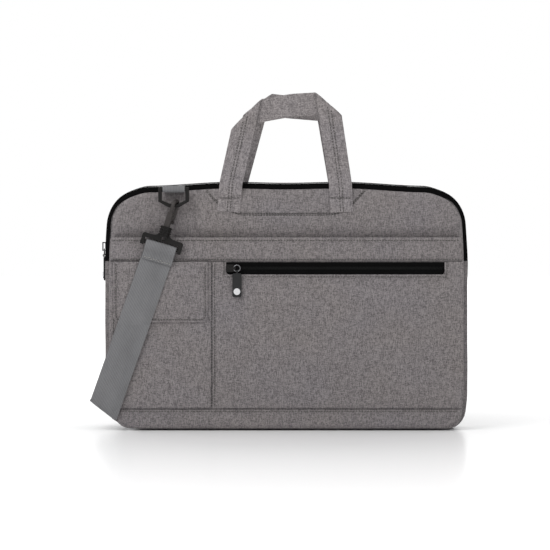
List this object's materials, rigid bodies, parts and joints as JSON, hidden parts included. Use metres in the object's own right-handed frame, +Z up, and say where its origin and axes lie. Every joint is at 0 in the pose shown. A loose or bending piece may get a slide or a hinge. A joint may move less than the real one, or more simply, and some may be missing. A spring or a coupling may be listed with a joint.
{
  "type": "laptop briefcase",
  "caption": "Soft grey laptop briefcase with two webbing handles, front pockets, a zipped top and a clip-on shoulder strap.",
  "frame": {"origin": "middle of the base, on the floor", "axes": "+Z up, -Y the front with the pockets, +X to the right seen from the front"},
  "size_m": [0.4248, 0.103, 0.3799],
  "materials": {
    "heather_fabric": "woven, heathered grey",
    "webbing": "ribbed grey webbing",
    "handle_webbing": "grey fabric strip, stitched down the middle",
    "zip_tape": "black woven tape",
    "zip_coil": "black moulded coil",
    "black_metal": "black, satin",
    "silver_metal": "bright nickel",
    "black_rubber": "black moulded tab",
    "black_plastic": "black moulded plastic",
    "lining_cloth": "smooth dark lining",
    "foam": "closed-cell foam under cloth",
    "board": "stiff sheet"
  },
  "bodies": {
    "bag": {"gusset_lower": "heather_fabric", "base_board": "board", "shell_front": "heather_fabric", "foam_front": "foam", "lining_front": "lining_cloth", "front_zip_tape": "zip_tape", "front_zip_coil": "zip_coil", "shell_rear_lower": "heather_fabric", "foam_rear_lower": "foam", "lining_rear_lower": "lining_cloth", "laptop_divider": "lining_cloth", "pocket_lining": "lining_cloth", "slip_pocket_edge_left": "lining_cloth", "slip_pocket_edge_right": "lining_cloth", "pocket_edge_left": "lining_cloth", "pocket_edge_right": "lining_cloth", "pocket_seam_web": "lining_cloth", "pocket_top_band": "heather_fabric", "pocket_base_band": "heather_fabric", "flap_pocket_panel": "heather_fabric", "zip_pocket_panel": "heather_fabric", "pocket_zip_tape_upper": "zip_tape", "pocket_zip_tape_lower": "zip_tape", "pocket_zip_coil": "zip_coil", "handle_ends_front": "handle_webbing", "web_loop_front": "webbing", "strap_loop_front": "webbing", "strap_front_upper": "webbing", "strap_front_lower": "webbing", "strap_crossing": "webbing", "strap_back": "webbing"},
    "mouth": {"shell_rear_upper": "heather_fabric", "foam_rear_upper": "foam", "lining_rear_upper": "lining_cloth", "rear_zip_tape": "zip_tape", "rear_zip_coil": "zip_coil", "handle_ends_rear": "handle_webbing", "web_loop_rear": "webbing", "strap_loop_rear": "webbing", "strap_return": "webbing"},
    "front_handle": {"handle_front": "handle_webbing"},
    "rear_handle": {"handle_rear": "handle_webbing"},
    "pocket_flap": {"flap": "heather_fabric"},
    "front_ring": {"ring_front": "black_metal"},
    "front_clip": {"swivel_bracket_front": "black_metal"},
    "front_hook": {"snap_hook_front": "black_metal"},
    "front_gate": {"hook_gate_front": "black_metal"},
    "rear_ring": {"ring_rear": "black_metal"},
    "rear_clip": {"swivel_bracket_rear": "black_metal"},
    "rear_hook": {"snap_hook_rear": "black_metal"},
    "rear_gate": {"hook_gate_rear": "black_metal"},
    "main_slider": {"main_slider": "black_metal"},
    "main_ring": {"main_pull_ring": "silver_metal"},
    "main_tab": {"main_pull_tab": "black_rubber", "main_pull_rivet": "silver_metal"},
    "pocket_slider": {"pocket_slider": "black_metal"},
    "pocket_ring": {"pocket_pull_ring": "silver_metal"},
    "pocket_tab": {"pocket_pull_tab": "black_rubber", "pocket_pull_rivet": "silver_metal"},
    "adjuster": {"strap_adjuster": "black_plastic"}
  },
  "joints": [
    {"name": "mouth_fold", "type": "hinge", "parent": "bag", "child": "mouth", "pos_m": [0, 0.029, 0.19], "axis": [-1, 0, 0], "range_deg": [0, 25], "deforming": ["strap_back"]},
    {"name": "front_handle_fold", "type": "hinge", "parent": "bag", "child": "front_handle", "pos_m": [0, -0.031, 0.261], "axis": [1, 0, 0], "range_deg": [0, 90]},
    {"name": "rear_handle_fold", "type": "hinge", "parent": "mouth", "child": "rear_handle", "pos_m": [0, 0.031, 0.261], "axis": [-1, 0, 0], "range_deg": [0, 80]},
    {"name": "flap_lift", "type": "hinge", "parent": "bag", "child": "pocket_flap", "pos_m": [0, -0.0408, 0.1896], "axis": [-1, 0, 0], "range_deg": [0, 30], "deforming": ["strap_front_upper", "strap_front_lower"]},
    {"name": "front_clip_tilt", "type": "hinge", "parent": "bag", "child": "front_clip", "pos_m": [-0.14028, -0.0465, 0.20748], "axis": [0.9588, 0, -0.284], "range_deg": [0, 5], "deforming": ["strap_loop_front"]},
    {"name": "front_ring_swing", "type": "hinge", "parent": "bag", "child": "front_ring", "pos_m": [-0.1263, -0.0404, 0.2709], "axis": [-1, 0, 0], "range_deg": [0, 13.1]},
    {"name": "front_hook_turn", "type": "hinge", "parent": "front_clip", "child": "front_hook", "pos_m": [-0.1363, -0.0465, 0.2209], "axis": [0.284, 0, 0.9588], "range_deg": [0, 40]},
    {"name": "front_gate_open", "type": "hinge", "parent": "front_hook", "child": "front_gate", "pos_m": [-0.1271, -0.03428, 0.23632], "axis": [0.901, -0.342, -0.2669], "range_deg": [0, 10], "stiffness_Nm_per_rad": 0.02},
    {"name": "rear_clip_tilt", "type": "hinge", "parent": "mouth", "child": "rear_clip", "pos_m": [0.07768, 0.0445, 0.2285], "axis": [-0.5693, 0, 0.8221], "range_deg": [0, 5], "deforming": ["strap_loop_rear"]},
    {"name": "rear_ring_swing", "type": "hinge", "parent": "mouth", "child": "rear_ring", "pos_m": [0.1263, 0.0384, 0.2709], "axis": [1, 0, 0], "range_deg": [0, 13.1]},
    {"name": "rear_hook_turn", "type": "hinge", "parent": "rear_clip", "child": "rear_hook", "pos_m": [0.08919, 0.0445, 0.23647], "axis": [0.8221, 0, 0.5693], "range_deg": [0, 25]},
    {"name": "rear_gate_open", "type": "hinge", "parent": "rear_hook", "child": "rear_gate", "pos_m": [0.10097, 0.03228, 0.25003], "axis": [-0.5349, 0.342, 0.7726], "range_deg": [0, 9], "stiffness_Nm_per_rad": 0.02},
    {"name": "main_slider_run", "type": "slide", "parent": "bag", "child": "main_slider", "axis": [0, 0, 1], "range_m": [0, 0.024]},
    {"name": "main_ring_swing", "type": "hinge", "parent": "main_slider", "child": "main_ring", "pos_m": [-0.2063, 0, 0.2031], "axis": [0, 1, 0], "range_deg": [0, 60]},
    {"name": "main_tab_swing", "type": "hinge", "parent": "main_ring", "child": "main_tab", "pos_m": [-0.2063, 0, 0.1959], "axis": [0, 1, 0], "range_deg": [0, 60]},
    {"name": "pocket_slider_run", "type": "slide", "parent": "bag", "child": "pocket_slider", "axis": [1, 0, 0], "range_m": [0, 0.225]},
    {"name": "pocket_ring_swing", "type": "hinge", "parent": "pocket_slider", "child": "pocket_ring", "pos_m": [-0.0555, -0.0437, 0.1823], "axis": [-1, 0, 0], "range_deg": [0, 25]},
    {"name": "pocket_tab_swing", "type": "hinge", "parent": "pocket_ring", "child": "pocket_tab", "pos_m": [-0.0555, -0.0437, 0.1787], "axis": [-1, 0, 0], "range_deg": [0, 60]},
    {"name": "adjuster_run", "type": "slide", "parent": "bag", "child": "adjuster", "axis": [-0.8221, 0, -0.5693], "range_m": [0, 0.1], "deforming": ["strap_return"]}
  ],
  "couplings": [
    {"joint": "front_ring_swing", "follows": "front_clip_tilt", "ratio": 2.6},
    {"joint": "rear_ring_swing", "follows": "rear_clip_tilt", "ratio": 2.6}
  ]
}
